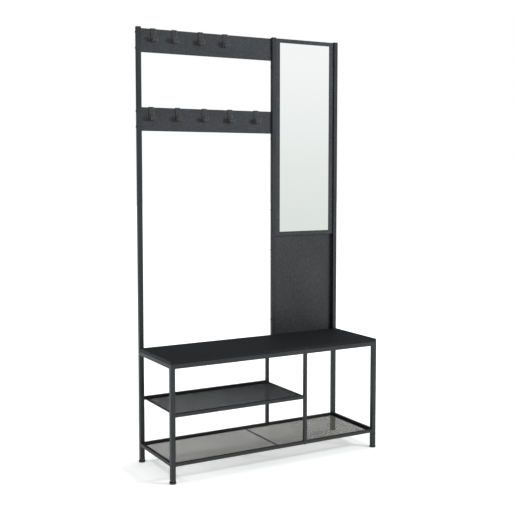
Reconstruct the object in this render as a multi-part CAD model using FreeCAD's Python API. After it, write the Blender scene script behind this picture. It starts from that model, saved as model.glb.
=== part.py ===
"""Entryway hall tree: bench, shelves, hook boards, mirror and levelling feet, one STEP per sub-part.

Millimetres. X runs left to right across the front, Y from front (negative) to back, Z up from the floor.
The origin is on the floor, midway between the outer leg faces in X and in Y.
"""
import FreeCAD
import Part
import math
import os

# Overall sizes, measured over the legs
WIDTH = 1000.0
DEPTH = 335.0
HEIGHT = 1830.0

# Square tubes
POST = 19.0
POST_WALL = 1.2
BAR = 14.0
BAR_WALL = 1.0
TUBE_CORNER = 1.4
PLUG_GAP = 0.2

# Seat
SEAT_TOP = 492.0
SEAT_BOARD_THICK = 12.0
SEAT_SIDE_INSET = 1.0
SEAT_EDGE_RADIUS = 1.2
SEAT_SCREW_D = 4.0
SEAT_SCREW_BITE = 8.0
SEAT_SCREW_PITCH_X = 500.0
SEAT_SCREW_INSET_Y = 70.0

# Shelves
LOW_SHELF_BOTTOM = 69.0
HIGH_SHELF_BOTTOM = 267.0
MIDDLE_LEG_SETBACK = 27.0
MESH_THICK = 1.2
MESH_RISE = 2.0
RIM_WIDTH = 5.0
RIM_HEIGHT = 5.0
RIM_GAP_LEFT = 9.0
RIM_OVERHANG_RIGHT = 17.0
BRACE_X = 10.0
BRACE_WIDTH = 4.0
BRACE_PROUD = 0.8

# Uprights
MIRROR_BAY_WIDTH = 314.0
CAP_THICK = 2.0
CAP_SKIRT = 10.0
CONNECTOR_LENGTH = 120.0
CONNECTOR_WALL = 1.5

# Hook boards
BOARD_HEIGHT = 98.0
BOARD_TOP_GAP = 5.0
BOARD_PITCH = 324.0
BOARD_RECESS = 9.5
BOARD_SHEET = 1.5
BOARD_FLANGE = 6.0
BOARD_BOLT_INSET = 16.5
BOARD_BOLT_D = 4.0

# Hooks
HOOK_WIDTH = 21.0
HOOK_THICK = 2.0
HOOK_DROP = 54.0
HOOK_REACH = 25.0
HOOK_TIP_RISE = 22.0
HOOK_LIP = 9.0
HOOK_GAP = 0.35
HOOKS_UPPER = (0.0773, 0.2352, 0.4375, 0.6332)
HOOKS_LOWER = (0.0592, 0.2599, 0.4655, 0.6711, 0.8865)

# Mirror and lower panel
MIRROR_BOTTOM = 942.0
MIRROR_TOP_GAP = 2.0
MIRROR_FACE_SIDE = 24.0
MIRROR_FACE_END = 18.0
MIRROR_RECESS = 7.0
MIRROR_SHEET = 1.2
GLASS_THICK = 4.0
GLASS_EDGE_GAP = 5.0
BACKING_THICK = 4.5
CLIP_SIZE = 12.0
CLIP_THICK = 1.0
CLIP_END_GAP = 60.0
CLIP_MIDDLE_RISE = 40.0
PANEL_SHEET = 1.2
PANEL_FLANGE = 8.0
SIDE_BOLT_D = 4.0
PANEL_BOLT_LOW_GAP = 80.0
PANEL_BOLT_HIGH_GAP = 62.0
MIRROR_BOLT_LOW_GAP = 118.0
MIRROR_BOLT_HIGH_GAP = 128.0

# Fasteners and plugs
FRAME_BOLT_D = 6.0
SHELF_BOLT_D = 5.0
PLUG_LENGTH = 20.0
BAR_PLUG_LENGTH = 15.0
NUT_THICK = 3.0
HOLE_GAP = 0.15
THREAD_GAP = 0.05
RELIEF_D = 14.0
RELIEF_DEPTH = 4.0

# Levelling feet
LEG_BOTTOM = 12.0
FOOT_PAD_D = 28.0
FOOT_PAD_HEIGHT = 8.5
FOOT_STUD_D = 8.0
FOOT_STUD_TOP = 46.0
FOOT_COLLAR_D = 13.0
FOOT_DISC_D = 13.0
FOOT_DISC_THICK = 3.0
FOOT_DISC_Z = 3.0
FOOT_INSERT_LENGTH = 14.0
FIT_GAP = 0.05
BODY_GAP = 0.35

# Derived positions
X0 = -WIDTH / 2
X1 = WIDTH / 2
Y0 = -DEPTH / 2
Y1 = DEPTH / 2
POST_FRONT = Y1 - POST
SEAT_RAIL_TOP = SEAT_TOP - SEAT_BOARD_THICK
SEAT_RAIL_BOTTOM = SEAT_RAIL_TOP - POST
LOW_SHELF_TOP = LOW_SHELF_BOTTOM + BAR
HIGH_SHELF_MID = HIGH_SHELF_BOTTOM + BAR / 2
UPRIGHT_TOP = HEIGHT - CAP_THICK
MIRROR_TOP = HEIGHT - MIRROR_TOP_GAP
OPEN_RIGHT = X1 - POST
OPEN_LEFT = OPEN_RIGHT - MIRROR_BAY_WIDTH
MIDDLE_UPRIGHT_X = OPEN_LEFT - POST
MIDDLE_LEG_X = MIDDLE_UPRIGHT_X - MIDDLE_LEG_SETBACK
BOARD_TOPS = (HEIGHT - BOARD_TOP_GAP, HEIGHT - BOARD_TOP_GAP - BOARD_PITCH)
HOOK_RUN = MIDDLE_UPRIGHT_X - X0 - POST - HOOK_WIDTH
MIRROR_BOLT_LOW = MIRROR_BOTTOM + MIRROR_BOLT_LOW_GAP
MIRROR_BOLT_HIGH = MIRROR_TOP - MIRROR_BOLT_HIGH_GAP
SIDE_BOLT_RISES = (
    SEAT_RAIL_TOP + PANEL_BOLT_LOW_GAP,
    MIRROR_BOTTOM - PANEL_BOLT_HIGH_GAP,
    MIRROR_BOLT_LOW,
    (MIRROR_BOLT_LOW + MIRROR_BOLT_HIGH) / 2,
    MIRROR_BOLT_HIGH,
)
BOARD_FRONT = POST_FRONT + BOARD_RECESS
BOARD_BOLT_Y = (BOARD_FRONT + BOARD_SHEET + Y1) / 2
SIDE_BOLT_Y = Y1 - PANEL_SHEET - PANEL_FLANGE / 2
RAIL_BOLT_Z = SEAT_RAIL_BOTTOM + POST / 2
PLUG = POST - 2 * POST_WALL - 2 * PLUG_GAP
BAR_PLUG = BAR - 2 * BAR_WALL - 2 * PLUG_GAP
LEG_CENTRES = {
    "front_left": (X0 + POST / 2, Y0 + POST / 2),
    "front_right": (X1 - POST / 2, Y0 + POST / 2),
    "rear_left": (X0 + POST / 2, Y1 - POST / 2),
    "rear_right": (X1 - POST / 2, Y1 - POST / 2),
}
V = FreeCAD.Vector
AXIS = {"x": V(1, 0, 0), "y": V(0, 1, 0), "z": V(0, 0, 1)}


def save(name, shape):
    """Write one node, as a solid or as a group of solids."""
    if isinstance(shape, list):
        shape = Part.makeCompound(shape)
    shape.exportStep("parts/%s.step" % name)


def box(x0, x1, y0, y1, z0, z1):
    return Part.makeBox(x1 - x0, y1 - y0, z1 - z0, V(x0, y0, z0))


def cylinder(point, direction, diameter, length):
    return Part.makeCylinder(diameter / 2, length, point, direction)


def edges_along(shape, axis):
    """Straight edges parallel to one axis."""
    found = []
    for edge in shape.Edges:
        tangent = edge.tangentAt(edge.FirstParameter)
        if isinstance(edge.Curve, Part.Line) and abs(tangent.dot(AXIS[axis])) > 0.999:
            found.append(edge)
    return found


def tube(axis, x0, x1, y0, y1, z0, z1, wall):
    """Square tube with rounded long edges and open ends."""
    outer = box(x0, x1, y0, y1, z0, z1)
    outer = outer.makeFillet(TUBE_CORNER, edges_along(outer, axis))
    grow = {"x": 0.0, "y": 0.0, "z": 0.0}
    grow[axis] = wall + 1.0
    inner = box(
        x0 + wall - grow["x"], x1 - wall + grow["x"],
        y0 + wall - grow["y"], y1 - wall + grow["y"],
        z0 + wall - grow["z"], z1 - wall + grow["z"],
    )
    return outer.cut(inner)


def post_at(x, y, z0, z1):
    """Vertical 19 mm tube with its left front corner at x, y."""
    return tube("z", x, x + POST, y, y + POST, z0, z1, POST_WALL)


def hole(shape, point, direction, diameter, length):
    return shape.cut(cylinder(point, direction, diameter + 2 * HOLE_GAP, length))


def threaded_block(x0, x1, y0, y1, z0, z1, axis, diameter):
    """Square plug with a threaded bore along one axis, the thread drawn as a plain bore."""
    block = box(x0, x1, y0, y1, z0, z1)
    centre = block.BoundBox.Center
    length = {"x": x1 - x0, "y": y1 - y0, "z": z1 - z0}[axis]
    start = centre - AXIS[axis] * (length / 2 + 1)
    return block.cut(cylinder(start, AXIS[axis], diameter + 2 * THREAD_GAP, length + 2))


def hexagon(cx, cy, radius, low, height):
    """Upright six-sided prism."""
    corners = []
    for k in range(7):
        angle = k * math.pi / 3
        corners.append(V(cx + radius * math.cos(angle), cy + radius * math.sin(angle), low))
    return Part.Face(Part.makePolygon(corners)).extrude(V(0, 0, height))


def button_bolt(point, direction, diameter, length):
    """Button head bolt with a hex socket; the point is under the head, the shank runs along direction."""
    head_d = 1.75 * diameter
    head_h = 0.55 * diameter
    head = Part.makeCylinder(head_d / 2, head_h, V(0, 0, -head_h))
    rim = [e for e in head.Edges if abs(e.BoundBox.ZMax + head_h) < 1e-6]
    head = head.makeFillet(0.6 * head_h, rim)
    socket_r = 0.33 * diameter
    socket = hexagon(0, 0, socket_r, -head_h - 1, 0.6 * head_h + 1)
    shank = Part.makeCylinder(diameter / 2, length)
    tip = [e for e in shank.Edges if abs(e.BoundBox.ZMin - length) < 1e-6]
    shank = shank.makeChamfer(0.12 * diameter, tip)
    bolt = head.cut(socket).fuse(shank)
    bolt.Placement = FreeCAD.Placement(point, FreeCAD.Rotation(V(0, 0, 1), direction))
    return bolt


def build_legs():
    """Front legs end under the seat board; rear legs end where the uprights begin."""
    for name, (cx, cy) in LEG_CENTRES.items():
        leg = post_at(cx - POST / 2, cy - POST / 2, LEG_BOTTOM, SEAT_RAIL_TOP)
        front = name.startswith("front")
        left = name.endswith("left")
        bolt_y = Y0 + BAR / 2 if front else Y1 - BAR / 2
        inward = V(1, 0, 0) if left else V(-1, 0, 0)
        wall_x = cx + POST / 2 if left else cx - POST / 2
        nut_start = V(wall_x, bolt_y, HIGH_SHELF_MID) - inward * (POST_WALL + 6.0)
        leg = leg.fuse(cylinder(nut_start, inward, 8.0, 6.0))
        bore_start = nut_start - inward
        leg = leg.cut(cylinder(bore_start, inward, SHELF_BOLT_D + 2 * THREAD_GAP, POST_WALL + 8.0))
        if not front:
            leg = hole(leg, V(cx - POST, cy, RAIL_BOLT_Z), V(1, 0, 0), FRAME_BOLT_D, 2 * POST)
        save("%s_leg_%s" % tuple(name.split("_")), leg)


def build_seat_frame():
    """Four 19 mm rails between the legs and one 14 mm bar under the middle of the board."""
    z0, z1 = SEAT_RAIL_BOTTOM, SEAT_RAIL_TOP
    front = tube("x", X0 + POST, X1 - POST, Y0, Y0 + POST, z0, z1, POST_WALL)
    rear = tube("x", X0 + POST, X1 - POST, POST_FRONT, Y1, z0, z1, POST_WALL)
    left = tube("y", X0, X0 + POST, Y0 + POST, POST_FRONT, z0, z1, POST_WALL)
    right = tube("y", X1 - POST, X1, Y0 + POST, POST_FRONT, z0, z1, POST_WALL)
    cross = tube("y", -BAR / 2, BAR / 2, Y0 + POST, POST_FRONT, z1 - BAR, z1, BAR_WALL)
    middle_x = MIDDLE_LEG_X + BAR / 2
    front = hole(front, V(middle_x, Y0 + BAR / 2, z0 - 1), V(0, 0, 1), SHELF_BOLT_D, POST + 2)
    rear = hole(rear, V(middle_x, Y1 - BAR / 2, z0 - 1), V(0, 0, 1), SHELF_BOLT_D, POST + 2)
    upright_x = MIDDLE_UPRIGHT_X + POST / 2
    rear = hole(rear, V(upright_x, Y1 - POST / 2, z0 - 1), V(0, 0, 1), FRAME_BOLT_D, POST + 2)
    for x, y, low in seat_screw_points():
        cutter = cylinder(V(x, y, low - 1), V(0, 0, 1), SEAT_SCREW_D + 2 * HOLE_GAP, z1 - low + 2)
        front = front.cut(cutter)
        left = left.cut(cutter)
        right = right.cut(cutter)
        cross = cross.cut(cutter)
    save("seat_rail_front", front)
    save("seat_rail_rear", rear)
    save("seat_rail_left", left)
    save("seat_rail_right", right)
    save("seat_cross_bar", cross)


def seat_screw_points():
    """Where the seat board screws go, with the underside of the tube each one passes."""
    points = []
    for sign in (-1, 1):
        points.append((sign * SEAT_SCREW_PITCH_X / 2, Y0 + POST / 2, SEAT_RAIL_BOTTOM))
    for x in (X0 + POST / 2, X1 - POST / 2):
        for y in (Y0 + SEAT_SCREW_INSET_Y, POST_FRONT - SEAT_SCREW_INSET_Y):
            points.append((x, y, SEAT_RAIL_BOTTOM))
    for y in (Y0 + SEAT_SCREW_INSET_Y, POST_FRONT - SEAT_SCREW_INSET_Y):
        points.append((0.0, y, SEAT_RAIL_TOP - BAR))
    return points


def build_seat_board():
    """Black board on top of the frame, reaching back to the front face of the uprights."""
    board = box(X0 + SEAT_SIDE_INSET, X1 - SEAT_SIDE_INSET, Y0, POST_FRONT, SEAT_RAIL_TOP, SEAT_TOP)
    board = board.makeFillet(SEAT_EDGE_RADIUS, board.Edges)
    for x, y, low in seat_screw_points():
        pilot = SEAT_SCREW_D + 2 * THREAD_GAP
        board = board.cut(cylinder(V(x, y, SEAT_RAIL_TOP - 1), V(0, 0, 1), pilot, SEAT_SCREW_BITE + 1.5))
    relief = V(MIDDLE_LEG_X + BAR / 2, Y0 + BAR / 2, SEAT_RAIL_TOP - 1)
    board = board.cut(cylinder(relief, V(0, 0, 1), RELIEF_D, RELIEF_DEPTH + 1))
    save("seat_board", board)
    screws = []
    for x, y, low in seat_screw_points():
        length = SEAT_RAIL_TOP - low + SEAT_SCREW_BITE
        screws.append(button_bolt(V(x, y, low), V(0, 0, 1), SEAT_SCREW_D, length))
    save("seat_screws", screws)


def build_low_shelf():
    """Full width shelf: four 14 mm rails and two mesh sheets that meet at a flat brace."""
    z0, z1 = LOW_SHELF_BOTTOM, LOW_SHELF_TOP
    front = tube("x", X0 + POST, X1 - POST, Y0, Y0 + BAR, z0, z1, BAR_WALL)
    rear = tube("x", X0 + POST, X1 - POST, Y1 - BAR, Y1, z0, z1, BAR_WALL)
    left = tube("y", X0, X0 + BAR, Y0 + POST, POST_FRONT, z0, z1, BAR_WALL)
    right = tube("y", X1 - BAR, X1, Y0 + POST, POST_FRONT, z0, z1, BAR_WALL)
    middle_x = MIDDLE_LEG_X + BAR / 2
    front = hole(front, V(middle_x, Y0 + BAR / 2, z0 - 1), V(0, 0, 1), SHELF_BOLT_D, BAR + 2)
    rear = hole(rear, V(middle_x, Y1 - BAR / 2, z0 - 1), V(0, 0, 1), SHELF_BOLT_D, BAR + 2)
    save("low_shelf_rail_front", front)
    save("low_shelf_rail_rear", rear)
    save("low_shelf_rail_left", left)
    save("low_shelf_rail_right", right)
    mesh_z = z0 + MESH_RISE
    mesh = box(X0 + BAR, X1 - BAR, Y0 + BAR, Y1 - BAR, mesh_z, mesh_z + MESH_THICK)
    for cx, cy in LEG_CENTRES.values():
        half = POST / 2
        mesh = mesh.cut(box(cx - half, cx + half, cy - half, cy + half, z0, z1))
    brace_top = mesh_z + MESH_THICK + BRACE_PROUD
    brace = box(BRACE_X, BRACE_X + BRACE_WIDTH, Y0 + BAR, Y1 - BAR, z0, brace_top)
    save("low_shelf_mesh", mesh.cut(brace))
    save("low_shelf_brace", brace)


def build_high_shelf():
    """Left bay shelf: two 14 mm rails, two flat rims and a mesh sheet between them."""
    z0 = HIGH_SHELF_BOTTOM
    z1 = z0 + BAR
    for name, y0 in (("front", Y0), ("rear", Y1 - BAR)):
        rail = tube("x", X0 + POST, MIDDLE_LEG_X, y0, y0 + BAR, z0, z1, BAR_WALL)
        save("high_shelf_rail_%s" % name, rail)
    left = X0 + POST + RIM_GAP_LEFT
    right = MIDDLE_LEG_X + RIM_OVERHANG_RIGHT
    rims = []
    for x in (left, right - RIM_WIDTH):
        rims.append(box(x, x + RIM_WIDTH, Y0 + BAR, Y1 - BAR, z0, z0 + RIM_HEIGHT))
    save("high_shelf_rims", rims)
    mesh_z = z0 + MESH_RISE
    mesh = box(left + RIM_WIDTH, right - RIM_WIDTH, Y0 + BAR, Y1 - BAR, mesh_z, mesh_z + MESH_THICK)
    save("high_shelf_mesh", mesh)


def build_middle_legs():
    """Two 14 mm legs from the low shelf to the seat frame, bolted at both ends."""
    centre_x = MIDDLE_LEG_X + BAR / 2
    bolts = []
    for name, y0 in (("front", Y0), ("rear", Y1 - BAR)):
        x0 = MIDDLE_LEG_X
        leg = tube("z", x0, x0 + BAR, y0, y0 + BAR, LOW_SHELF_TOP, SEAT_RAIL_BOTTOM, BAR_WALL)
        cy = y0 + BAR / 2
        leg = hole(leg, V(MIDDLE_LEG_X - 1, cy, HIGH_SHELF_MID), V(1, 0, 0), SHELF_BOLT_D, BAR + 2)
        save("middle_leg_%s" % name, leg)
        low_length = BAR + BAR_PLUG_LENGTH - 2
        bolts.append(button_bolt(V(centre_x, cy, LOW_SHELF_BOTTOM), V(0, 0, 1), SHELF_BOLT_D, low_length))
        high_length = POST + BAR_PLUG_LENGTH - 2
        bolts.append(button_bolt(V(centre_x, cy, SEAT_RAIL_TOP), V(0, 0, -1), SHELF_BOLT_D, high_length))
    save("middle_leg_bolts", bolts)


def build_shelf_fixings():
    """Bolts through the middle legs and headless studs in the left legs hold the upper shelf."""
    bolts = []
    for cy in (Y0 + BAR / 2, Y1 - BAR / 2):
        length = BAR + BAR_PLUG_LENGTH - 2
        bolts.append(button_bolt(V(MIDDLE_LEG_X + BAR, cy, HIGH_SHELF_MID), V(-1, 0, 0), SHELF_BOLT_D, length))
        start = V(X0 + POST - POST_WALL - 5.0, cy, HIGH_SHELF_MID)
        bolts.append(cylinder(start, V(1, 0, 0), SHELF_BOLT_D, POST_WALL + 5.0 + BAR_PLUG_LENGTH - 2))
    save("shelf_bolts", bolts)


def build_plugs():
    """Threaded plugs welded into the tube ends that take a bolt."""
    half = PLUG / 2
    plugs = []
    rail_y = Y1 - POST / 2
    for x in (X0 + POST, X1 - POST - PLUG_LENGTH):
        plugs.append(threaded_block(
            x, x + PLUG_LENGTH, rail_y - half, rail_y + half,
            RAIL_BOLT_Z - half, RAIL_BOLT_Z + half, "x", FRAME_BOLT_D,
        ))
    cx = MIDDLE_UPRIGHT_X + POST / 2
    plugs.append(threaded_block(
        cx - half, cx + half, rail_y - half, rail_y + half,
        SEAT_RAIL_TOP, SEAT_RAIL_TOP + PLUG_LENGTH, "z", FRAME_BOLT_D,
    ))
    save("post_plugs", plugs)
    half = BAR_PLUG / 2
    plugs = []
    cx = MIDDLE_LEG_X + BAR / 2
    for cy in (Y0 + BAR / 2, Y1 - BAR / 2):
        for z in (LOW_SHELF_TOP, SEAT_RAIL_BOTTOM - BAR_PLUG_LENGTH):
            plugs.append(threaded_block(
                cx - half, cx + half, cy - half, cy + half, z, z + BAR_PLUG_LENGTH, "z", SHELF_BOLT_D,
            ))
        for x in (X0 + POST, MIDDLE_LEG_X - BAR_PLUG_LENGTH):
            plugs.append(threaded_block(
                x, x + BAR_PLUG_LENGTH, cy - half, cy + half,
                HIGH_SHELF_MID - half, HIGH_SHELF_MID + half, "x", SHELF_BOLT_D,
            ))
    save("bar_plugs", plugs)


def build_uprights():
    """Three uprights: outer ones sleeved on the rear legs, the middle one on the rear seat rail."""
    z0, z1 = SEAT_RAIL_TOP, UPRIGHT_TOP
    left = post_at(X0, POST_FRONT, z0, z1)
    middle = post_at(MIDDLE_UPRIGHT_X, POST_FRONT, z0, z1)
    right = post_at(X1 - POST, POST_FRONT, z0, z1)
    for z in board_bolt_rises():
        left = hole(left, V(X0 - 1, BOARD_BOLT_Y, z), V(1, 0, 0), BOARD_BOLT_D, POST + 2)
        start = V(MIDDLE_UPRIGHT_X, BOARD_BOLT_Y, z)
        middle = middle.fuse(cylinder(start, V(1, 0, 0), 7.0, 8.0))
        middle = middle.cut(cylinder(start - V(1, 0, 0), V(1, 0, 0), BOARD_BOLT_D + 2 * THREAD_GAP, 10.0))
    for z in SIDE_BOLT_RISES:
        middle = hole(middle, V(MIDDLE_UPRIGHT_X - 1, SIDE_BOLT_Y, z), V(1, 0, 0), SIDE_BOLT_D, POST + 2)
        right = hole(right, V(X1 - POST - 1, SIDE_BOLT_Y, z), V(1, 0, 0), SIDE_BOLT_D, POST + 2)
    save("upright_left", left)
    save("upright_middle", middle)
    save("upright_right", right)
    connectors = []
    caps = []
    for x in (X0, MIDDLE_UPRIGHT_X, X1 - POST):
        caps.append(post_cap(x))
    inset = POST_WALL + PLUG_GAP
    for x in (X0, X1 - POST):
        low = z0 - CONNECTOR_LENGTH / 2
        sleeve = tube(
            "z", x + inset, x + POST - inset, POST_FRONT + inset, Y1 - inset,
            low, low + CONNECTOR_LENGTH, CONNECTOR_WALL,
        )
        sleeve = hole(sleeve, V(x - 1, Y1 - POST / 2, RAIL_BOLT_Z), V(1, 0, 0), FRAME_BOLT_D, POST + 2)
        connectors.append(sleeve)
    save("upright_connectors", connectors)
    save("post_caps", caps)


def post_cap(x):
    """Flat plastic cap with a skirt that pushes into the tube."""
    top = box(x, x + POST, POST_FRONT, Y1, UPRIGHT_TOP, HEIGHT)
    top = top.makeFillet(TUBE_CORNER, edges_along(top, "z"))
    rim = [e for e in top.Edges if abs(e.BoundBox.ZMin - HEIGHT) < 1e-6]
    top = top.makeFillet(0.8, rim)
    inset = POST_WALL + PLUG_GAP
    low = UPRIGHT_TOP - CAP_SKIRT
    skirt = box(x + inset, x + POST - inset, POST_FRONT + inset, Y1 - inset, low, UPRIGHT_TOP)
    hollow = box(
        x + inset + 2, x + POST - inset - 2, POST_FRONT + inset + 2, Y1 - inset - 2,
        low - 1, UPRIGHT_TOP,
    )
    return top.fuse(skirt.cut(hollow))


def board_bolt_rises():
    """Heights of the two bolts at each end of each hook board."""
    rises = []
    for top in BOARD_TOPS:
        rises.append(top - BOARD_HEIGHT + BOARD_BOLT_INSET)
        rises.append(top - BOARD_BOLT_INSET)
    return rises


def build_hook_boards():
    """Folded sheet trays: shallow flanges top and bottom, full depth flanges at both ends."""
    x0, x1 = X0 + POST, MIDDLE_UPRIGHT_X
    bolts = []
    for name, top in zip(("upper", "lower"), BOARD_TOPS):
        low = top - BOARD_HEIGHT
        t = BOARD_SHEET
        tray = box(x0, x1, BOARD_FRONT, BOARD_FRONT + BOARD_FLANGE, low, top)
        tray = tray.makeFillet(t, [e for e in edges_along(tray, "x") if e.BoundBox.YMax < BOARD_FRONT + 1])
        tray = tray.cut(box(x0 + t, x1 - t, BOARD_FRONT + t, Y1 + 1, low + t, top - t))
        for end in (x0, x1 - t):
            tray = tray.fuse(box(end, end + t, BOARD_FRONT + t, Y1, low + t, top - t))
        for z in (low + BOARD_BOLT_INSET, top - BOARD_BOLT_INSET):
            tray = tray.fuse(cylinder(V(x0 + t, BOARD_BOLT_Y, z), V(1, 0, 0), 7.5, NUT_THICK))
            tray = tray.cut(cylinder(V(x0 - 1, BOARD_BOLT_Y, z), V(1, 0, 0), BOARD_BOLT_D + 2 * THREAD_GAP, 12))
            tray = hole(tray, V(x1 - t - 1, BOARD_BOLT_Y, z), V(1, 0, 0), BOARD_BOLT_D, t + 2)
            long_bolt = POST + t + NUT_THICK
            bolts.append(button_bolt(V(X0, BOARD_BOLT_Y, z), V(1, 0, 0), BOARD_BOLT_D, long_bolt))
            bolts.append(button_bolt(V(x1 - t, BOARD_BOLT_Y, z), V(1, 0, 0), BOARD_BOLT_D, t + 7.0))
        save("hook_board_%s" % name, tray.removeSplitter())
    save("hook_board_bolts", bolts)


def hook(x, board_top):
    """Steel strip folded over the top flange of a board and turned up in front into a J."""
    t = HOOK_THICK
    back = BOARD_FRONT - HOOK_GAP
    lip_front = BOARD_FRONT + BOARD_FLANGE + HOOK_GAP
    bridge = board_top + HOOK_GAP
    bottom = board_top - HOOK_DROP
    outer_r = HOOK_REACH / 2
    centre_y = back - outer_r
    centre_z = bottom + outer_r
    x1 = x + HOOK_WIDTH
    strip = box(x, x1, back - t, back, centre_z, bridge + t)
    over = box(x, x1, back - t, lip_front + t, bridge, bridge + t)
    lip = box(x, x1, lip_front, lip_front + t, board_top - HOOK_LIP, bridge + t)
    clip = strip.fuse(over).fuse(lip).removeSplitter()
    top_edges = [e for e in edges_along(clip, "x") if abs(e.BoundBox.ZMax - bridge - t) < 1e-6]
    clip = clip.makeFillet(1.5, top_edges)
    ring = cylinder(V(x, centre_y, centre_z), V(1, 0, 0), 2 * outer_r, HOOK_WIDTH)
    ring = ring.cut(cylinder(V(x - 1, centre_y, centre_z), V(1, 0, 0), 2 * (outer_r - t), HOOK_WIDTH + 2))
    ring = ring.cut(box(x - 1, x1 + 1, centre_y - 50, centre_y + 50, centre_z, centre_z + 50))
    tip_front = back - HOOK_REACH
    tip = box(x, x1, tip_front, tip_front + t, centre_z, bottom + HOOK_TIP_RISE)
    ends = [e for e in edges_along(tip, "y") if abs(e.BoundBox.ZMax - bottom - HOOK_TIP_RISE) < 1e-6]
    tip = tip.makeFillet(HOOK_WIDTH / 2 - 4.0, ends)
    return clip.fuse(ring).fuse(tip).removeSplitter()


def build_hooks():
    """Nine loose hooks, four on the upper board and five on the lower one."""
    for row, shares, top in (("upper", HOOKS_UPPER, BOARD_TOPS[0]), ("lower", HOOKS_LOWER, BOARD_TOPS[1])):
        for number, share in enumerate(shares, 1):
            save("hook_%s_%d" % (row, number), hook(X0 + POST + share * HOOK_RUN, top))


def build_mirror():
    """Folded sheet frame, glass behind its face, backing board and six clips."""
    front = POST_FRONT + MIRROR_RECESS
    s = MIRROR_SHEET
    z0, z1 = MIRROR_BOTTOM, MIRROR_TOP
    frame = box(OPEN_LEFT, OPEN_RIGHT, front, Y1, z0, z1)
    frame = frame.cut(box(OPEN_LEFT + s, OPEN_RIGHT - s, front + s, Y1 + 1, z0 + s, z1 - s))
    side, end = MIRROR_FACE_SIDE, MIRROR_FACE_END
    frame = frame.cut(box(OPEN_LEFT + side, OPEN_RIGHT - side, front - 1, Y1 + 1, z0 + end, z1 - end))
    for z in SIDE_BOLT_RISES:
        if z > z0:
            frame = add_side_nuts(frame, z)
    save("mirror_frame", frame)
    g = s + GLASS_EDGE_GAP
    glass_front = front + s
    glass_back = glass_front + GLASS_THICK
    backing_back = glass_back + BACKING_THICK
    save("mirror_glass", box(OPEN_LEFT + g, OPEN_RIGHT - g, glass_front, glass_back, z0 + g, z1 - g))
    save("mirror_backing", box(OPEN_LEFT + g, OPEN_RIGHT - g, glass_back, backing_back, z0 + g, z1 - g))
    clips = []
    half = CLIP_SIZE / 2
    for z in (z0 + CLIP_END_GAP, (z0 + z1) / 2 + CLIP_MIDDLE_RISE, z1 - CLIP_END_GAP):
        for x in (OPEN_LEFT + s + half, OPEN_RIGHT - s - half):
            clips.append(box(x - half, x + half, backing_back, backing_back + CLIP_THICK, z - half, z + half))
    save("mirror_clips", clips)


def add_side_nuts(shape, z):
    """Weld nuts on the inner faces of the two side flanges at one height, with their bolt holes."""
    s = MIRROR_SHEET
    for x, direction in ((OPEN_LEFT + s, V(1, 0, 0)), (OPEN_RIGHT - s, V(-1, 0, 0))):
        shape = shape.fuse(cylinder(V(x, SIDE_BOLT_Y, z), direction, 7.0, NUT_THICK))
        bore = V(x, SIDE_BOLT_Y, z) - direction * (s + 1)
        shape = shape.cut(cylinder(bore, direction, SIDE_BOLT_D + 2 * THREAD_GAP, s + NUT_THICK + 2))
    return shape


def build_lower_panel():
    """Hammered sheet below the mirror with side flanges turned forward."""
    z0, z1 = SEAT_RAIL_TOP, MIRROR_BOTTOM
    s = PANEL_SHEET
    panel = box(OPEN_LEFT, OPEN_RIGHT, Y1 - s, Y1, z0, z1)
    for x in (OPEN_LEFT, OPEN_RIGHT - s):
        panel = panel.fuse(box(x, x + s, Y1 - s - PANEL_FLANGE, Y1, z0, z1))
    panel = panel.removeSplitter()
    for z in SIDE_BOLT_RISES:
        if z < z1:
            panel = add_side_nuts(panel, z)
    save("lower_panel", panel)


def build_side_bolts():
    """Bolts through the middle and right uprights into the mirror frame and the lower panel."""
    length = POST + MIRROR_SHEET + NUT_THICK
    bolts = []
    for z in SIDE_BOLT_RISES:
        bolts.append(button_bolt(V(MIDDLE_UPRIGHT_X, SIDE_BOLT_Y, z), V(1, 0, 0), SIDE_BOLT_D, length))
        bolts.append(button_bolt(V(X1, SIDE_BOLT_Y, z), V(-1, 0, 0), SIDE_BOLT_D, length))
    save("side_bolts", bolts)


def build_frame_bolts():
    """Bolts through the rear legs into the rear seat rail, and one up into the middle upright."""
    rail_y = Y1 - POST / 2
    upright_x = MIDDLE_UPRIGHT_X + POST / 2
    length = POST + PLUG_LENGTH - 2
    bolts = [
        button_bolt(V(X0, rail_y, RAIL_BOLT_Z), V(1, 0, 0), FRAME_BOLT_D, length),
        button_bolt(V(X1, rail_y, RAIL_BOLT_Z), V(-1, 0, 0), FRAME_BOLT_D, length),
        button_bolt(V(upright_x, rail_y, SEAT_RAIL_BOTTOM), V(0, 0, 1), FRAME_BOLT_D, length),
    ]
    save("frame_bolts", bolts)


def build_feet():
    """Threaded inserts in the legs, and four levelling feet: a stud and a pad that turns on it."""
    inserts = []
    half = PLUG / 2
    for name, (cx, cy) in LEG_CENTRES.items():
        inserts.append(threaded_block(
            cx - half, cx + half, cy - half, cy + half,
            LEG_BOTTOM, LEG_BOTTOM + FOOT_INSERT_LENGTH, "z", FOOT_STUD_D,
        ))
        save("foot_stud_%s" % name, foot_stud(cx, cy))
        save("foot_pad_%s" % name, foot_pad(cx, cy))
    save("leg_inserts", inserts)


def foot_stud(cx, cy):
    """Stud with a stop collar under the leg and a disc held inside the pad."""
    stud = cylinder(V(cx, cy, FOOT_DISC_Z), V(0, 0, 1), FOOT_STUD_D, FOOT_STUD_TOP - FOOT_DISC_Z)
    disc = cylinder(V(cx, cy, FOOT_DISC_Z), V(0, 0, 1), FOOT_DISC_D, FOOT_DISC_THICK)
    low = FOOT_PAD_HEIGHT + BODY_GAP
    collar = hexagon(cx, cy, FOOT_COLLAR_D / 2, low, LEG_BOTTOM - BODY_GAP - low)
    return stud.fuse(disc).fuse(collar).removeSplitter()


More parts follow.
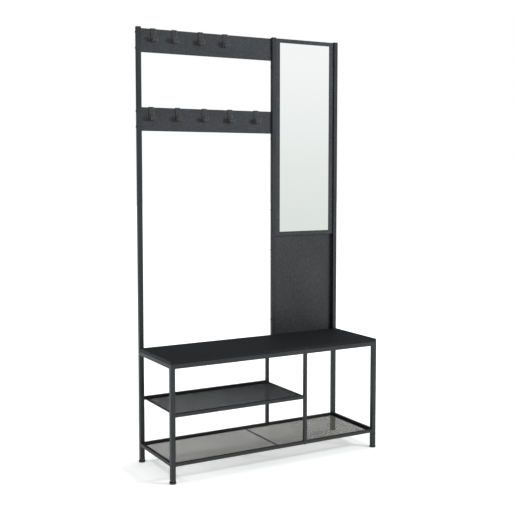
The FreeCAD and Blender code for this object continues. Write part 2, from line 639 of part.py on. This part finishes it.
def foot_pad(cx, cy):
    """Round pad with a hidden pocket for the disc of the stud."""
    pad = cylinder(V(cx, cy, 0), V(0, 0, 1), FOOT_PAD_D, FOOT_PAD_HEIGHT)
    rims = [e for e in pad.Edges if abs(e.BoundBox.ZMax - e.BoundBox.ZMin) < 1e-6]
    pad = pad.makeFillet(1.5, rims)
    pocket_low = FOOT_DISC_Z - BODY_GAP
    pocket_high = FOOT_DISC_Z + FOOT_DISC_THICK + BODY_GAP
    floor = V(cx, cy, pocket_low)
    pad = pad.cut(cylinder(floor, V(0, 0, 1), FOOT_DISC_D + 2 * FIT_GAP, pocket_high - pocket_low))
    return pad.cut(cylinder(floor, V(0, 0, 1), FOOT_STUD_D + 2 * FIT_GAP, FOOT_PAD_HEIGHT))


os.makedirs("parts", exist_ok=True)
build_legs()
build_seat_frame()
build_seat_board()
build_low_shelf()
build_high_shelf()
build_middle_legs()
build_shelf_fixings()
build_plugs()
build_uprights()
build_hook_boards()
build_hooks()
build_mirror()
build_lower_panel()
build_side_bolts()
build_frame_bolts()
build_feet()
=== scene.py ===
"""Looks of the entryway hall tree, built around its CAD frame. Metres, front at -Y, Z up."""

import math

import bpy
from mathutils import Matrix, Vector


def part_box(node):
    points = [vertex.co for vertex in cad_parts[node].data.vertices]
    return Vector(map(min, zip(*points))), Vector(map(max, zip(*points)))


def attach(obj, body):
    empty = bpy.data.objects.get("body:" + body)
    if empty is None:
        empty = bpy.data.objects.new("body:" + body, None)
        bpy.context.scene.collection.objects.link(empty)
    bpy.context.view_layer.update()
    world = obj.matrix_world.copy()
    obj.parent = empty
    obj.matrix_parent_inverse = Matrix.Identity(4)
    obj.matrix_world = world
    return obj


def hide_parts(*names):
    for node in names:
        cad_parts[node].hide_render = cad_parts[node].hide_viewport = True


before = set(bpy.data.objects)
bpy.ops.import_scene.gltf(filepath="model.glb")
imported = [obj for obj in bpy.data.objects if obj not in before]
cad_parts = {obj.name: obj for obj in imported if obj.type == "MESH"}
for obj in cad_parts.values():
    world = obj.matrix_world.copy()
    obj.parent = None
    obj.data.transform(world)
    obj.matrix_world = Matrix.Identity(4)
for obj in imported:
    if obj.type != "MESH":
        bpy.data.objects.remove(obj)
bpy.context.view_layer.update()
scene = bpy.context.scene
bpy.ops.object.select_all(action="DESELECT")


# --- Frame tubes -------------------------------------------------------------------------------
# Square mild steel tube, cut, welded and powder coated in a charcoal hammered finish: a fine
# pebbled skin, slightly uneven in tone, with the tube corners painted paler in patches, partly
# rubbed where they get touched and partly a painted highlight for the light they catch.

class Signal:
    """A shader socket that takes part in Python arithmetic."""

    def __init__(self, sheet, socket):
        self.sheet = sheet
        self.socket = socket

    def maths(self, operation, first, second):
        return self.sheet.node("ShaderNodeMath", {"operation": operation}, {0: first, 1: second})

    def __add__(self, other):
        return self.maths("ADD", self, other)

    def __radd__(self, other):
        return self.maths("ADD", other, self)

    def __sub__(self, other):
        return self.maths("SUBTRACT", self, other)

    def __rsub__(self, other):
        return self.maths("SUBTRACT", other, self)

    def __mul__(self, other):
        return self.maths("MULTIPLY", self, other)

    def __rmul__(self, other):
        return self.maths("MULTIPLY", other, self)


class NodeSheet:
    """A node tree that grows one node at a time."""

    def __init__(self, tree):
        self.tree = tree
        self.tree.nodes.clear()

    def node(self, kind, settings, inputs, output=0):
        made = self.tree.nodes.new(kind)
        for name, value in settings.items():
            setattr(made, name, value)
        for name, value in inputs.items():
            if isinstance(value, Signal):
                self.tree.links.new(value.socket, made.inputs[name])
            else:
                made.inputs[name].default_value = value
        return Signal(self, made.outputs[output])

    def dot(self, first, second):
        """Dot product of two vectors."""
        settings = {"operation": "DOT_PRODUCT"}
        return self.node("ShaderNodeVectorMath", settings, {0: first, 1: second}, "Value")

    def step(self, value, low, high):
        """0 below low, 1 above high, smooth in between."""
        settings = {"interpolation_type": "SMOOTHSTEP"}
        inputs = {"Value": value, "From Min": low, "From Max": high}
        return self.node("ShaderNodeMapRange", settings, inputs, "Result")

    def tint(self, share, first, second):
        """The first colour at share 0, the second at share 1."""
        return self.node("ShaderNodeMix", {"data_type": "RGBA"}, {0: share, 6: first, 7: second}, 2)


class Finish(NodeSheet):
    """One material, with a Principled shader as its surface."""

    def __init__(self, name, **constants):
        self.material = bpy.data.materials.new(name)
        self.material.use_nodes = True
        super().__init__(self.material.node_tree)
        self.shader = self.tree.nodes.new("ShaderNodeBsdfPrincipled")
        output = self.tree.nodes.new("ShaderNodeOutputMaterial")
        self.tree.links.new(self.shader.outputs["BSDF"], output.inputs["Surface"])
        for socket, value in constants.items():
            self.shader.inputs[socket.replace("_", " ")].default_value = value

    def feed(self, socket, signal):
        """Drive one input of the surface shader."""
        self.tree.links.new(signal.socket, self.shader.inputs[socket])

    def place(self):
        return self.node("ShaderNodeTexCoord", {}, {}, "Object")

    def stretched(self, scale, rotation):
        """Object place, scaled along its axes and turned, for marks that run one way."""
        inputs = {"Vector": self.place(), "Scale": scale, "Rotation": rotation}
        return self.node("ShaderNodeMapping", {}, inputs)

    def noise(self, scale, detail=2.0, roughness=0.5, at=None):
        """Cloudy noise, scale of its waves to a metre."""
        place = at or self.place()
        inputs = {"Vector": place, "Scale": scale, "Detail": detail, "Roughness": roughness}
        return self.node("ShaderNodeTexNoise", {}, inputs, "Fac")

    def cells(self, scale, at=None):
        """Distance from the centres of soft round cells, scale of them to a metre."""
        inputs = {"Vector": at or self.place(), "Scale": scale, "Smoothness": 0.6}
        return self.node("ShaderNodeTexVoronoi", {"feature": "SMOOTH_F1"}, inputs, "Distance")

    def rounded(self, radius):
        """Surface normal with the corners eased over."""
        return self.node("ShaderNodeBevel", {"samples": 4}, {"Radius": radius}, "Normal")

    def rubbed_and_highlit_edges(self, radius):
        """1 on outer corners, 0 on flats: how far a rounded normal leans from the real one."""
        real = self.node("ShaderNodeNewGeometry", {}, {}, "Normal")
        faint_lean, full_lean = 0.02, 0.22
        return self.step(1 - self.dot(self.rounded(radius), real), faint_lean, full_lean)

    def bumps(self, height, distance, strength=1.0, over=None):
        """Raise the surface by height times distance, over another normal where one is given."""
        inputs = {"Height": height, "Distance": distance, "Strength": strength}
        if over:
            inputs["Normal"] = over
        self.feed("Normal", self.node("ShaderNodeBump", {}, inputs, "Normal"))


def dress(node, finish):
    """Give a CAD node its finish, in every material slot."""
    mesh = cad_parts[node].data
    mesh.materials.clear()
    mesh.materials.append(finish.material)


coat_dark = (0.0125, 0.0136, 0.0150, 1)
coat_mid = (0.0235, 0.0256, 0.0282, 1)
coat_rubbed_and_highlight = (0.085, 0.090, 0.096, 1)
tube_edge = 0.0012
charcoal_coat = Finish("charcoal_hammered_coat", Metallic=0.0, IOR=1.5)
charcoal_coat.shader.inputs["Specular IOR Level"].default_value = 0.35
pebbles = charcoal_coat.cells(520.0)
grit = charcoal_coat.noise(1400.0, 3.0, 0.6)
drift = charcoal_coat.noise(7.0, 3.0)
rub_and_highlight_patches = charcoal_coat.step(charcoal_coat.noise(60.0, 4.0), 0.42, 0.70)
# Painted highlight and real wear: rounded corners are tinted paler in random patches.
worn_and_highlight = charcoal_coat.rubbed_and_highlit_edges(tube_edge) * rub_and_highlight_patches
tone = charcoal_coat.step(drift * 0.5 + pebbles * 0.55, 0.25, 0.75)
coat_colour = charcoal_coat.tint(tone, coat_dark, coat_mid)
charcoal_coat.feed("Base Color", charcoal_coat.tint(worn_and_highlight * 0.7, coat_colour, coat_rubbed_and_highlight))
charcoal_coat.feed("Roughness", 0.40 + grit * 0.16 - worn_and_highlight * 0.10)
charcoal_coat.bumps(pebbles + grit * 0.25, 0.00035, 0.7)

tube_nodes = [
    "front_leg_left", "front_leg_right", "rear_leg_left", "rear_leg_right",
    "seat_rail_front", "seat_rail_rear", "seat_rail_left", "seat_rail_right", "seat_cross_bar",
    "low_shelf_rail_front", "low_shelf_rail_rear", "low_shelf_rail_left", "low_shelf_rail_right",
    "low_shelf_brace", "high_shelf_rail_front", "high_shelf_rail_rear", "high_shelf_rims",
    "middle_leg_front", "middle_leg_rear", "upright_left", "upright_middle", "upright_right",
]
for node in tube_nodes:
    dress(node, charcoal_coat)


# --- Sheet metal -------------------------------------------------------------------------------
# Hook boards, lower panel and mirror frame: folded steel sheet in the same charcoal, with a
# coarser hammered skin that shows as pale flecks on the large flats. Its folded edges are painted
# paler, partly wear and partly a painted highlight.

fleck_dark = (0.0158, 0.0173, 0.0190, 1)
fleck_pale = (0.0545, 0.0590, 0.0645, 1)
hammered_sheet = Finish("charcoal_hammered_sheet", Metallic=0.0, IOR=1.5)
hammered_sheet.shader.inputs["Specular IOR Level"].default_value = 0.35
dimples = hammered_sheet.cells(240.0)
sheet_grit = hammered_sheet.noise(900.0, 3.0, 0.6)
sheet_drift = hammered_sheet.noise(5.0, 3.0)
flecks = hammered_sheet.step(hammered_sheet.noise(330.0, 2.0, 0.7), 0.48, 0.66)
# Painted highlight and real wear: the sheet's edges are tinted paler.
sheet_worn_and_highlight = hammered_sheet.rubbed_and_highlit_edges(0.001)
sheet_tone = flecks * 0.55 + sheet_drift * 0.35 + dimples * 0.3
sheet_colour = hammered_sheet.tint(hammered_sheet.step(sheet_tone, 0.2, 1.0), fleck_dark, fleck_pale)
hammered_sheet.feed("Base Color", hammered_sheet.tint(sheet_worn_and_highlight * 0.45, sheet_colour, coat_rubbed_and_highlight))
hammered_sheet.feed("Roughness", 0.42 + sheet_grit * 0.18)
hammered_sheet.bumps(dimples + sheet_grit * 0.2, 0.0006, 0.7)
for node in ("hook_board_upper", "hook_board_lower", "lower_panel", "mirror_frame"):
    dress(node, hammered_sheet)


# --- Hooks -------------------------------------------------------------------------------------
# Bent steel strip in satin charcoal, hung over the board's top edge and free to slide along it.
# The coat is smoother than the frame's; its corners are painted pale, partly rubbed towards bare
# steel and partly a painted highlight standing in for the light the strip's edges catch.

hook_dark = (0.014, 0.0150, 0.0165, 1)
hook_pale = (0.026, 0.0275, 0.030, 1)
hook_bare_and_highlight = (0.42, 0.435, 0.455, 1)
hook_edge = 0.0012
satin_coat = Finish("hook_satin_coat", Metallic=0.0, IOR=1.5)
hook_drift = satin_coat.noise(45.0, 3.0)
hook_grit = satin_coat.noise(1300.0, 2.0)
hook_patches = satin_coat.step(satin_coat.noise(140.0, 3.0), 0.25, 0.55)
# Painted highlight and real wear: pale, nearly bare corners stand in for the glint on the edges.
hook_rub_and_highlight = satin_coat.rubbed_and_highlit_edges(hook_edge) * hook_patches
hook_colour = satin_coat.tint(hook_drift, hook_dark, hook_pale)
satin_coat.feed("Base Color", satin_coat.tint(hook_rub_and_highlight * 0.8, hook_colour, hook_bare_and_highlight))
satin_coat.feed("Roughness", 0.33 + hook_grit * 0.14 - hook_rub_and_highlight * 0.08)
satin_coat.bumps(hook_grit, 0.00015, 0.6, satin_coat.rounded(0.0011))
for row, count in (("upper", 4), ("lower", 5)):
    for number in range(1, count + 1):
        dress("hook_%s_%d" % (row, number), satin_coat)


# --- Seat board --------------------------------------------------------------------------------
# Particle board wrapped in matte black foil with a fine leather-like emboss; its edges carry a
# painted highlight, a pale line that shows along the long front edge, and the top carries faint
# rub marks.

seat_black = (0.0085, 0.0092, 0.0105, 1)
seat_soft = (0.0125, 0.0133, 0.0150, 1)
seat_scuff_and_highlight = (0.075, 0.077, 0.080, 1)
seat_foil = Finish("seat_black_foil", Metallic=0.0, IOR=1.4)
seat_foil.shader.inputs["Specular IOR Level"].default_value = 0.2
emboss = seat_foil.cells(700.0)
foil_grain = seat_foil.noise(300.0, 4.0, 0.65)
scuff_at = seat_foil.stretched((6.0, 60.0, 6.0), (0, 0, 0.3))
scuffs = seat_foil.step(seat_foil.noise(6.0, 5.0, 0.7, scuff_at), 0.60, 0.78)
foil_edge_highlight = seat_foil.rubbed_and_highlit_edges(0.0015)
foil_colour = seat_foil.tint(foil_grain, seat_black, seat_soft)
# Painted highlight on the edges; real rub marks on the top.
foil_wear_and_highlight = foil_edge_highlight * 0.6 + scuffs * 0.12
seat_foil.feed("Base Color", seat_foil.tint(foil_wear_and_highlight, foil_colour, seat_scuff_and_highlight))
seat_foil.feed("Roughness", 0.47 + foil_grain * 0.14 - scuffs * 0.06)
seat_foil.bumps(emboss + foil_grain * 0.4, 0.0002, 0.6)
dress("seat_board", seat_foil)


# --- Mirror ------------------------------------------------------------------------------------
# Silvered float glass, faintly green, behind the frame's face; a trace of dust and wiping marks
# softens the reflection. A plain hardboard sheet closes the back, held by small clips.

silver = (0.93, 0.945, 0.94, 1)
silver_dusty = (0.78, 0.80, 0.79, 1)
mirror_glass = Finish("mirror_silvered_glass", Metallic=1.0)
wipe_at = mirror_glass.stretched((3.0, 3.0, 1.2), (0, 0.5, 0))
wiping = mirror_glass.step(mirror_glass.noise(4.0, 5.0, 0.6, wipe_at), 0.45, 0.75)
dust = mirror_glass.step(mirror_glass.noise(800.0, 1.0), 0.72, 0.80)
mirror_glass.feed("Base Color", mirror_glass.tint(dust * 0.25, silver, silver_dusty))
mirror_glass.feed("Roughness", 0.012 + wiping * 0.02 + dust * 0.10)
dress("mirror_glass", mirror_glass)

board_brown = (0.17, 0.10, 0.055, 1)
board_tan = (0.36, 0.25, 0.15, 1)
hardboard = Finish("backing_hardboard", IOR=1.45)
fibre = hardboard.noise(420.0, 5.0, 0.7)
fibre_blotch = hardboard.noise(18.0, 3.0)
fibre_tone = fibre * 0.7 + fibre_blotch * 0.3
hardboard.feed("Base Color", hardboard.tint(fibre_tone, board_brown, board_tan))
hardboard.feed("Roughness", 0.70 + fibre * 0.15)
hardboard.bumps(fibre, 0.0003, 0.8)
dress("mirror_backing", hardboard)


# --- Plastic feet and caps ---------------------------------------------------------------------
# Injection moulded black plastic: foot pads and the push-in caps on the uprights, with a fine
# spark-eroded texture and a dull sheen.

plastic_dark = (0.022, 0.022, 0.024, 1)
plastic_pale = (0.034, 0.034, 0.037, 1)
black_plastic = Finish("black_moulded_plastic", IOR=1.49)
spark = black_plastic.noise(1100.0, 3.0, 0.6)
plastic_drift = black_plastic.noise(30.0, 2.0)
black_plastic.feed("Base Color", black_plastic.tint(plastic_drift, plastic_dark, plastic_pale))
black_plastic.feed("Roughness", 0.48 + spark * 0.16)
black_plastic.bumps(spark, 0.0001, 0.5)
dress("post_caps", black_plastic)
for corner in ("front_left", "front_right", "rear_left", "rear_right"):
    dress("foot_pad_" + corner, black_plastic)


# --- Bolts and studs ---------------------------------------------------------------------------
# Zinc plated steel for foot studs, sleeves, plugs and the frame bolts; black oxide for the small
# button heads that show on the uprights.

zinc_dull = (0.42, 0.43, 0.44, 1)
zinc_bright = (0.62, 0.62, 0.61, 1)
zinc = Finish("zinc_plated_steel", Metallic=1.0)
zinc_bloom = zinc.noise(160.0, 4.0)
zinc_grit = zinc.noise(1800.0, 2.0)
zinc.feed("Base Color", zinc.tint(zinc_bloom, zinc_dull, zinc_bright))
zinc.feed("Roughness", 0.28 + zinc_bloom * 0.20)
zinc.bumps(zinc_grit, 0.00005, 0.5)
zinc_nodes = (
    "frame_bolts", "post_plugs", "bar_plugs", "leg_inserts",
    "upright_connectors", "mirror_clips", "seat_screws",
)
for node in zinc_nodes:
    dress(node, zinc)
for corner in ("front_left", "front_right", "rear_left", "rear_right"):
    dress("foot_stud_" + corner, zinc)

oxide_dark = (0.030, 0.031, 0.034, 1)
oxide_pale = (0.055, 0.056, 0.060, 1)
oxide_rubbed = (0.22, 0.22, 0.22, 1)
black_oxide = Finish("black_oxide_steel", Metallic=0.6)
oxide_bloom = black_oxide.noise(240.0, 3.0)
oxide_edge = black_oxide.rubbed_and_highlit_edges(0.0006)
oxide_colour = black_oxide.tint(oxide_bloom, oxide_dark, oxide_pale)
black_oxide.feed("Base Color", black_oxide.tint(oxide_edge * 0.5, oxide_colour, oxide_rubbed))
black_oxide.feed("Roughness", 0.34 + oxide_bloom * 0.2)
for node in ("hook_board_bolts", "side_bolts", "shelf_bolts", "middle_leg_bolts"):
    dress(node, black_oxide)


# --- Mesh shelves ------------------------------------------------------------------------------
# Fine woven wire cloth, powder coated, spot welded inside a thin flat border. Both sheets are the
# same cloth: the lower one's wire is painted a warmer, paler grey as painted light, standing in
# for the light it catches and the floor seen through it, while the upper keeps the frame's coat.
# One wire is shaped over two crossings and repeated, and warp and weft pass over and under in turn.

# Painted light: a paler, warmer copy of the charcoal coat, for the lower sheet's wire only.
lit_wire_dark = (0.088, 0.086, 0.077, 1)
lit_wire_pale = (0.165, 0.161, 0.141, 1)
lit_wire_coat = Finish("wire_coat_painted_lit", Metallic=0.0, IOR=1.5)
lit_wire_coat.shader.inputs["Specular IOR Level"].default_value = 0.3
wire_drift = lit_wire_coat.noise(12.0, 3.0)
wire_grit = lit_wire_coat.noise(1500.0, 2.0)
lit_wire_coat.feed("Base Color", lit_wire_coat.tint(wire_drift, lit_wire_dark, lit_wire_pale))
lit_wire_coat.feed("Roughness", 0.46 + wire_grit * 0.15)
lit_wire_coat.bumps(wire_grit, 0.0001, 0.5)

wire_pitch = 0.004
low_wire_width = 0.00060
high_wire_width = 0.00072
border_width = 0.004
low_side_border = 0.009
border_thickness = 0.0008
along_x = Vector((1, 0, 0))
along_y = Vector((0, 1, 0))
upward = Vector((0, 0, 1))


def pick(piece, kind, wanted):
    """Select the vertices, edges or faces of a piece that pass a test, and go into edit mode."""
    bpy.ops.object.mode_set(mode="OBJECT")
    mesh = piece.data
    for parts in (mesh.vertices, mesh.edges, mesh.polygons):
        parts.foreach_set("select", [False] * len(parts))
    for part in {"VERT": mesh.vertices, "EDGE": mesh.edges, "FACE": mesh.polygons}[kind]:
        part.select = wanted(part)
    bpy.context.tool_settings.mesh_select_mode = (kind == "VERT", kind == "EDGE", kind == "FACE")
    bpy.ops.object.mode_set(mode="EDIT")


def start_piece(name, size):
    """Name the primitive just added, stretch it, and settle its size and place into its mesh."""
    piece = bpy.context.object
    piece.name = name
    piece.scale = size
    bpy.ops.object.transform_apply(location=True, rotation=True, scale=True)
    return piece


def repeat(piece, step, count, joined):
    """Copy a piece along a line, with the ends joined where they meet."""
    row = piece.modifiers.new("row", "ARRAY")
    row.use_relative_offset = False
    row.use_constant_offset = True
    row.constant_offset_displace = step
    row.count = count
    row.use_merge_vertices = joined
    row.merge_threshold = 0.00001
    bpy.ops.object.modifier_apply(modifier="row")


def wires(name, low, high, run, side, lean, wire_width, coat):
    """Every wire that runs one way through a sheet, ending half a pitch inside the border."""
    length = (high - low).dot(run)
    breadth = (high - low).dot(side)
    crossings = 2 * round(length / wire_pitch / 2) + 1
    rows = 2 * round(breadth / wire_pitch / 2) + 1
    pitch = length / crossings
    spacing = breadth / rows
    first = low + side * spacing / 2 + run * pitch / 2
    bpy.ops.object.select_all(action="DESELECT")
    size = run * 2 * pitch + (side + upward) * wire_width
    bpy.ops.mesh.primitive_cube_add(size=1, location=first)
    wire = start_piece(name, size)
    pick(wire, "FACE", lambda face: abs(face.normal.dot(run)) > 0.5)
    bpy.ops.mesh.delete(type="ONLY_FACE")
    ends = [vert.co.dot(run) for vert in wire.data.vertices]
    pick(wire, "EDGE", lambda edge: abs(wire.data.vertices[edge.vertices[0]].co.dot(run)
                                        - wire.data.vertices[edge.vertices[1]].co.dot(run)) > pitch)
    bpy.ops.mesh.subdivide(number_cuts=1)
    middle = (min(ends) + max(ends)) / 2
    lift = lean * wire_width / 2
    pick(wire, "VERT", lambda vert: abs(vert.co.dot(run) - middle) < pitch / 2)
    bpy.ops.transform.translate(value=upward * lift)
    bpy.ops.mesh.select_all(action="INVERT")
    bpy.ops.transform.translate(value=-upward * lift)
    bpy.ops.mesh.select_all(action="SELECT")
    bpy.ops.mesh.duplicate()
    bpy.ops.transform.resize(value=(1, 1, -1), center_override=first)
    bpy.ops.mesh.flip_normals()
    bpy.ops.transform.translate(value=side * spacing)
    bpy.ops.object.mode_set(mode="OBJECT")
    repeat(wire, run * 2 * pitch, (crossings + 1) // 2, True)
    bpy.ops.object.mode_set(mode="EDIT")
    bpy.ops.mesh.select_all(action="SELECT")
    bpy.ops.mesh.fill_holes(sides=4)
    bpy.ops.object.mode_set(mode="OBJECT")
    repeat(wire, side * 2 * spacing, (rows + 1) // 2, False)
    last = high.dot(side)
    pick(wire, "VERT", lambda vert: vert.co.dot(side) > last)
    bpy.ops.mesh.delete(type="VERT")
    bpy.ops.object.mode_set(mode="OBJECT")
    wire.data.materials.append(coat.material)
    return wire


def mesh_sheet(node, name, side_border, end_border, wire_width, coat):
    """Woven sheet with a flat border, in the place of one CAD plate."""
    low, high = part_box(node)
    level = upward * (low.z + high.z) / 2
    inner_low = Vector((low.x + side_border, low.y + end_border, level.z))
    inner_high = Vector((high.x - side_border, high.y - end_border, level.z))
    warp = wires(name + "_warp", inner_low, inner_high, along_x, along_y, 1, wire_width, coat)
    weft = wires(name + "_weft", inner_low, inner_high, along_y, along_x, -1, wire_width, coat)
    bpy.ops.object.select_all(action="DESELECT")
    centre = (low + high) / 2
    bpy.ops.mesh.primitive_plane_add(size=1, location=centre)
    border = start_piece(name + "_border", (high.x - low.x, high.y - low.y, 1))
    bpy.ops.object.mode_set(mode="EDIT")
    bpy.ops.mesh.select_all(action="SELECT")
    bpy.ops.mesh.inset(thickness=end_border)
    bpy.ops.mesh.delete(type="ONLY_FACE")
    inside = (high.y - low.y) / 2 - end_border / 2
    for sign in (-1, 1):
        pick(border, "VERT", lambda vert: abs(vert.co.y - centre.y) < inside
             and (vert.co.x - centre.x) * sign > 0)
        bpy.ops.transform.translate(value=along_x * -sign * (side_border - end_border))
    bpy.ops.object.mode_set(mode="OBJECT")
    thick = border.modifiers.new("thick", "SOLIDIFY")
    thick.thickness = border_thickness
    thick.offset = 0
    bpy.ops.object.modifier_apply(modifier="thick")
    border.data.materials.append(charcoal_coat.material)
    for piece in (warp, weft, border):
        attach(piece, "tree")
    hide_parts(node)


# The lower sheet gets the painted-light copy of the coat; the upper gets the frame's own charcoal.
mesh_sheet("low_shelf_mesh", "low_shelf_cloth",
           low_side_border, border_width, low_wire_width, lit_wire_coat)
mesh_sheet("high_shelf_mesh", "high_shelf_cloth",
           border_width, border_width, high_wire_width, charcoal_coat)


# --- Weld beads --------------------------------------------------------------------------------
# Short fillet welds where the rails meet the legs, rippled and coated over with the frame. One
# bead is shaped and copied along every seam that is left unground: under the seat, on the shelf.

bead_radius = 0.0015
bead_length = 0.016
bead_ripples = 9
bead_waist = 0.80
bead_share = 0.9
bpy.ops.object.select_all(action="DESELECT")
bpy.ops.mesh.primitive_cylinder_add(vertices=12, radius=bead_radius, depth=bead_length)
bead = start_piece("weld_beads", (1, 1, 1))
pick(bead, "EDGE", lambda edge: abs(bead.data.vertices[edge.vertices[0]].co.z
                                    - bead.data.vertices[edge.vertices[1]].co.z) > bead_length / 2)
bpy.ops.mesh.subdivide(number_cuts=2 * bead_ripples - 1)
ripple = bead_length / (2 * bead_ripples)
pick(bead, "VERT", lambda vert: round((vert.co.z + bead_length / 2) / ripple) % 2 == 0)
bpy.ops.transform.resize(value=(bead_waist, bead_waist, 1), center_override=(0, 0, 0))
bpy.ops.object.mode_set(mode="OBJECT")
bpy.ops.object.shade_smooth_by_angle(angle=math.radians(50))
bead.data.materials.append(charcoal_coat.material)

seams = []
for node, run, faces in (
    ("seat_rail_front", 0, "low"), ("seat_rail_rear", 0, "low"),
    ("seat_rail_left", 1, "low"), ("seat_rail_right", 1, "low"), ("seat_cross_bar", 1, "low"),
    ("low_shelf_rail_front", 0, "both"), ("low_shelf_rail_rear", 0, "both"),
    ("low_shelf_rail_left", 1, "both"), ("low_shelf_rail_right", 1, "both"),
):
    low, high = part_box(node)
    for end in (low[run], high[run]):
        for height in ((low.z, high.z) if faces == "both" else (low.z,)):
            seam = (low + high) / 2
            seam[run] = end
            seam.z = height
            seams.append((seam, run, high[1 - run] - low[1 - run]))
copies = [bead]
for seam, run, length in seams:
    bpy.ops.object.select_all(action="DESELECT")
    bead.select_set(True)
    bpy.context.view_layer.objects.active = bead
    bpy.ops.object.duplicate()
    copy = bpy.context.object
    copy.location = seam
    copy.rotation_euler = (math.pi / 2, 0, 0) if run == 0 else (0, math.pi / 2, 0)
    copy.scale = (1, 1, bead_share * length / bead_length)
    bpy.ops.object.transform_apply(location=True, rotation=True, scale=True)
    copies.append(copy)
bpy.ops.object.select_all(action="DESELECT")
for copy in copies[1:]:
    copy.select_set(True)
bpy.context.view_layer.objects.active = copies[1]
bpy.ops.object.join()
bpy.data.objects.remove(bead)
copies[1].name = "weld_beads"
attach(copies[1], "tree")


# --- Studio ------------------------------------------------------------------------------------
# Matt white floor that glows, dimly near the tree where real shadows still show and fully white
# further out into a white surround, and a bright card to the front right that the mirror shows.
# Three lamps: a soft key at the front right, a weak one at the left rear, and a wide one overhead.
# The camera stands in front and to the left, at the height of the mirror.

floor_near = 5.0
floor_far = 26.0
floor_white = (0.80, 0.80, 0.80, 1)
glow_near = (0.448, 0.453, 0.453, 1)
glow_far = (1.0, 1.0, 1.0, 1)
glow_starts, glow_ends = 0.9, 3.0
bpy.ops.object.select_all(action="DESELECT")
bpy.ops.mesh.primitive_plane_add(size=2, location=(0, (floor_far - floor_near) / 2, 0))
floor = start_piece("studio_floor", (floor_far, (floor_far + floor_near) / 2, 1))
sweep = Finish("studio_white_sweep", Roughness=0.9)
sweep.shader.inputs["Base Color"].default_value = floor_white
sweep.shader.inputs["Specular IOR Level"].default_value = 0.0
# The floor glows, dimmer near the tree and white further out; its glow also lights the tree from
# below.
away = sweep.node("ShaderNodeVectorMath", {"operation": "LENGTH"}, {0: sweep.place()}, "Value")
outward = sweep.step(away, glow_starts, glow_ends)
sweep.feed("Emission Color", sweep.tint(outward, glow_near, glow_far))
sweep.shader.inputs["Emission Strength"].default_value = 1.0
floor.data.materials.append(sweep.material)

world = bpy.data.worlds.new("studio_surround")
scene.world = world
world.use_nodes = True
surround = NodeSheet(world.node_tree)
direction = surround.node("ShaderNodeTexCoord", {}, {}, "Generated")
rise = surround.node("ShaderNodeSeparateXYZ", {}, {"Vector": direction}, "Z")
card_side = (0.50, -0.866, 0.05)
card_low, card_high = (0.74, 0.775, 0.745, 1), (1.0, 1.0, 1.0, 1)
room_dim, room_pale = (0.08, 0.082, 0.086, 1), (0.22, 0.225, 0.23, 1)
ceiling = (0.50, 0.505, 0.51, 1)
facing = surround.dot(direction, card_side)
card = surround.step(facing, 0.80, 0.95)
card_white = surround.tint(surround.step(rise, -0.14, 0.20), card_low, card_high)
room = surround.tint(surround.step(facing, -0.6, 0.9), room_dim, room_pale)
above = surround.tint(surround.step(rise, 0.3, 1.0), room, ceiling)
lit = surround.tint(card, above, card_white)
seen = surround.node("ShaderNodeLightPath", {}, {}, "Is Camera Ray")
backdrop = surround.tint(seen, lit, glow_far)
glow = surround.node("ShaderNodeBackground", {}, {"Color": backdrop}, "Background")
world_output = world.node_tree.nodes.new("ShaderNodeOutputWorld")
world.node_tree.links.new(glow.socket, world_output.inputs["Surface"])


def soft_light(name, place, target, size, power, spread=180):
    """Round area lamp aimed at a target, left out of reflections; spread is in degrees."""
    light = bpy.data.lights.new(name, "AREA")
    light.shape = "DISK"
    light.size = size
    light.energy = power
    light.spread = math.radians(spread)
    lamp = bpy.data.objects.new(name, light)
    lamp.location = place
    lamp.rotation_euler = (Vector(target) - Vector(place)).to_track_quat("-Z", "Y").to_euler()
    lamp.visible_glossy = False
    scene.collection.objects.link(lamp)


soft_light("key_right", (2.1, -2.0, 2.0), (-0.1, 0.15, 1.6), 0.6, 32, 90)
soft_light("rim_left", (-2.0, 0.25, 2.5), (-0.45, 0.15, 1.7), 0.5, 22)
soft_light("top_soft", (0.4, 0.2, 4.2), (0, 0, 0.4), 1.8, 70)

camera_yaw = math.radians(29.685)
camera_pitch = math.radians(-4.229)
camera_data = bpy.data.cameras.new("standing_view")
camera_data.sensor_width = 36.0
camera_data.lens = 63.846
camera_data.shift_y = -0.0395
camera = bpy.data.objects.new("standing_view", camera_data)
camera.location = (-1.9517, -3.3988, 1.2421)
camera.rotation_euler = (math.pi / 2 + camera_pitch, 0, -camera_yaw)
scene.collection.objects.link(camera)
scene.camera = camera
scene.view_settings.view_transform = "Standard"
